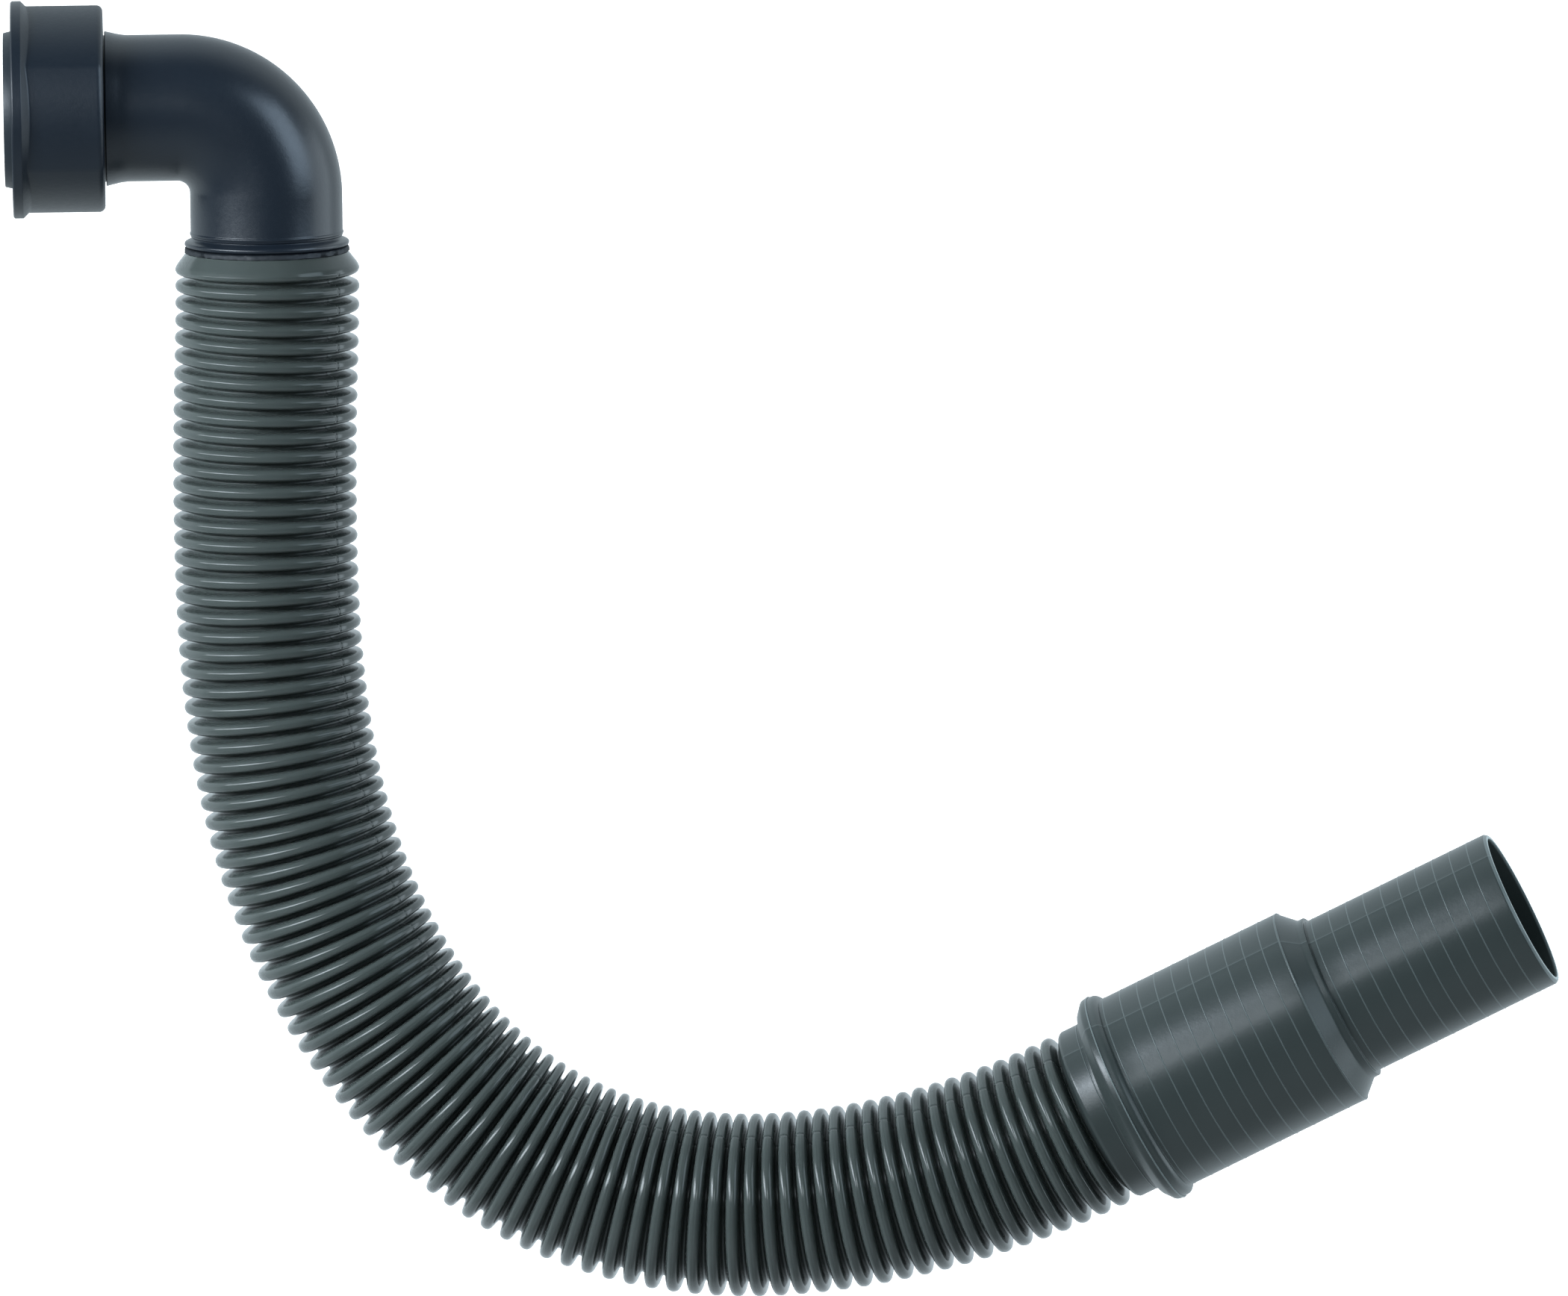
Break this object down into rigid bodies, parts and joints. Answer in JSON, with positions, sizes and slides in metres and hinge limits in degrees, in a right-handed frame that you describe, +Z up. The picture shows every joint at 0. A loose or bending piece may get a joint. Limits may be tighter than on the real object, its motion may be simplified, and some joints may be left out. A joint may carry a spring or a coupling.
{
  "type": "flexible drain elbow",
  "caption": "Moulded drain elbow with a loose union nut at its inlet and a bonded bellows hose that ends in a stepped plain cuff.",
  "frame": {"origin": "centre of the union nut's mouth plane", "axes": "+X along the inlet into the elbow, +Z up, so the hose hangs towards -Z and sweeps to +X in a plane turned 7.6 degrees from the XZ plane towards -Y"},
  "size_m": [0.3725, 0.0861, 0.3174],
  "materials": {
    "union_nut": "satin moulded plastic, dark slate",
    "cone_seal": "smooth soft rubber, dark slate",
    "elbow": "satin moulded plastic, dark slate",
    "bellows_hose": "satin blown plastic, green grey",
    "bond_ring": "set adhesive, near black"
  },
  "bodies": {
    "pipe": {"elbow": "elbow", "cone_seal": "cone_seal", "bond_ring": "bond_ring", "bellows_hose": "bellows_hose"},
    "nut": {"union_nut": "union_nut"}
  },
  "joints": [
    {"name": "nut_spin", "type": "hinge", "parent": "pipe", "child": "nut", "pos_m": [0.011, 0, 0], "axis": [1, 0, 0], "continuous": true}
  ]
}
